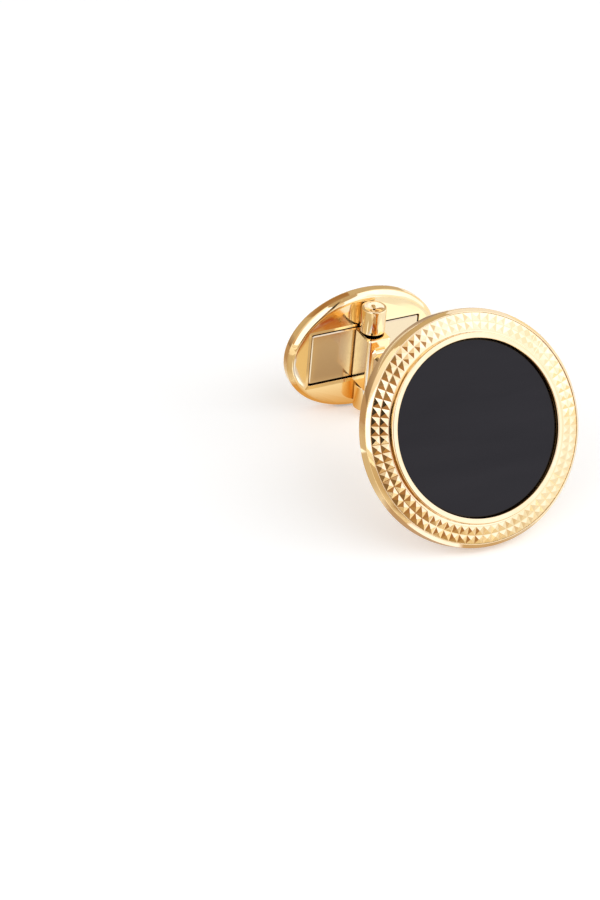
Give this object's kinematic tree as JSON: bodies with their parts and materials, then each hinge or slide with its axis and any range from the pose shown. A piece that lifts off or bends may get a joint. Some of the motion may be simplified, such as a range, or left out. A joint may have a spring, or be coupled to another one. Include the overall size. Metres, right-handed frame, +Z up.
{
  "type": "cufflink",
  "caption": "Round cufflink: black onyx inlay in a hobnail-cut gold bezel, bent post, and an oval toggle that swivels on a hinge pin to pass a buttonhole.",
  "frame": {"origin": "on the table under the middle of the cufflink's length, as it lies on the head's lower rim and the toggle's lower edge", "axes": "+Z up along the hinge pin, -Y towards the head's face, +Y out of the toggle's back"},
  "size_m": [0.018, 0.023, 0.0161],
  "materials": {
    "polished_gold": "mirror polished yellow gold",
    "spring_gold": "satin tan gold alloy",
    "black_onyx": "high polish"
  },
  "bodies": {
    "head": {"onyx_disc": "black_onyx", "collet_ring": "polished_gold", "hobnail_ring": "polished_gold", "bezel": "polished_gold", "back_plate": "polished_gold", "post_foot": "polished_gold", "post": "polished_gold"},
    "toggle": {"toggle_shell": "polished_gold", "toggle_plate": "polished_gold", "click_spring": "spring_gold", "upper_knuckle": "polished_gold", "lower_knuckle": "polished_gold", "hinge_pin": "polished_gold"}
  },
  "joints": [
    {"name": "toggle_swivel", "type": "hinge", "parent": "head", "child": "toggle", "pos_m": [0, 0.00926, 0.00512], "axis": [0, 0, 1], "range_deg": [-90, 90], "deforming": ["click_spring"]}
  ]
}
